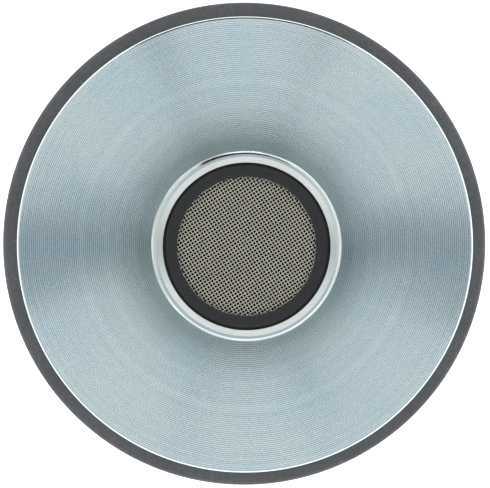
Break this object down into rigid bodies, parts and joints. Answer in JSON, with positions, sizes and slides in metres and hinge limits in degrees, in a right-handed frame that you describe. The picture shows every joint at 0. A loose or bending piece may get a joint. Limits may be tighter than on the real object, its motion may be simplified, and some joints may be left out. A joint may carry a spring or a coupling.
{
  "type": "screw-on compression driver",
  "caption": "Round ferrite compression driver for a horn: threaded throat with woven screen, steel plates on a ring magnet, black rear cover with push-button spring terminals.",
  "frame": {"origin": "centre of the rear cover's flat back face, on the throat's axis", "axes": "+Z along the throat's axis towards its threaded mouth, -Y towards the speaker terminals, +X to the right seen from the terminals' side"},
  "size_m": [0.09, 0.09, 0.0628],
  "materials": {
    "zinc_plated_steel": "face-turned, zinc plated, blue-clear passivated",
    "turned_steel": "fine turned, zinc plated",
    "ferrite": "sintered, ground, matte dark grey",
    "woven_stainless": "plain-woven wire screen",
    "black_plastic": "satin, fine moulded texture",
    "grey_plastic": "moulded, matte",
    "titanium": "thin formed titanium foil",
    "amber_film": "polyimide film",
    "copper": "bright copper wire and foil",
    "fibre": "pressed fibre sheet",
    "foam": "closed-cell foam",
    "felt": "pressed wool felt",
    "black_steel": "black oxide",
    "nickel": "nickel plated",
    "brass": "bright, stamped",
    "spring_steel": "drawn wire",
    "red_plastic": "moulded, glossy",
    "jet_plastic": "moulded, glossy"
  },
  "bodies": {
    "motor": {"magnet_ring": "ferrite", "throat_plate": "zinc_plated_steel", "top_plate": "zinc_plated_steel", "pole_piece": "turned_steel", "phase_plug": "grey_plastic", "throat_screen": "woven_stainless", "screen_ring": "black_plastic", "surround": "amber_film", "diaphragm_ring": "grey_plastic", "spacer_ring": "fibre", "ring_screw_1": "black_steel", "ring_screw_2": "black_steel", "ring_screw_3": "black_steel", "ring_screw_4": "black_steel", "rear_cover": "black_plastic", "cover_gasket": "foam", "damping_pad": "felt", "cover_screw_1": "black_steel", "cover_screw_2": "black_steel", "cover_screw_3": "black_steel", "cover_screw_4": "black_steel", "red_bushing": "nickel", "red_spring": "spring_steel", "red_solder_tag": "brass", "red_nut": "brass", "red_lead_wire": "red_plastic", "red_solder_tab": "brass", "red_lead_out": "copper", "black_bushing": "nickel", "black_spring": "spring_steel", "black_solder_tag": "brass", "black_nut": "brass", "black_lead_wire": "jet_plastic", "black_solder_tab": "brass", "black_lead_out": "copper"},
    "diaphragm": {"dome": "titanium", "coil_former": "amber_film", "voice_coil": "copper"},
    "red_terminal_button": {"red_plunger": "nickel", "red_button": "red_plastic", "red_clip": "black_steel"},
    "black_terminal_button": {"black_plunger": "nickel", "black_button": "jet_plastic", "black_clip": "black_steel"}
  },
  "joints": [
    {"name": "diaphragm_travel", "type": "slide", "parent": "motor", "child": "diaphragm", "axis": [0, 0, 1], "range_m": [-0.0004, 0.0004], "stiffness_N_per_m": 1500, "deforming": ["surround", "red_lead_out", "black_lead_out"]},
    {"name": "red_button_press", "type": "slide", "parent": "motor", "child": "red_terminal_button", "axis": [0, 1, 0], "range_m": [0, 0.0025], "stiffness_N_per_m": 900, "springref_m": -0.002, "deforming": ["red_spring"]},
    {"name": "black_button_press", "type": "slide", "parent": "motor", "child": "black_terminal_button", "axis": [0, 1, 0], "range_m": [0, 0.0025], "stiffness_N_per_m": 900, "springref_m": -0.002, "deforming": ["black_spring"]}
  ]
}
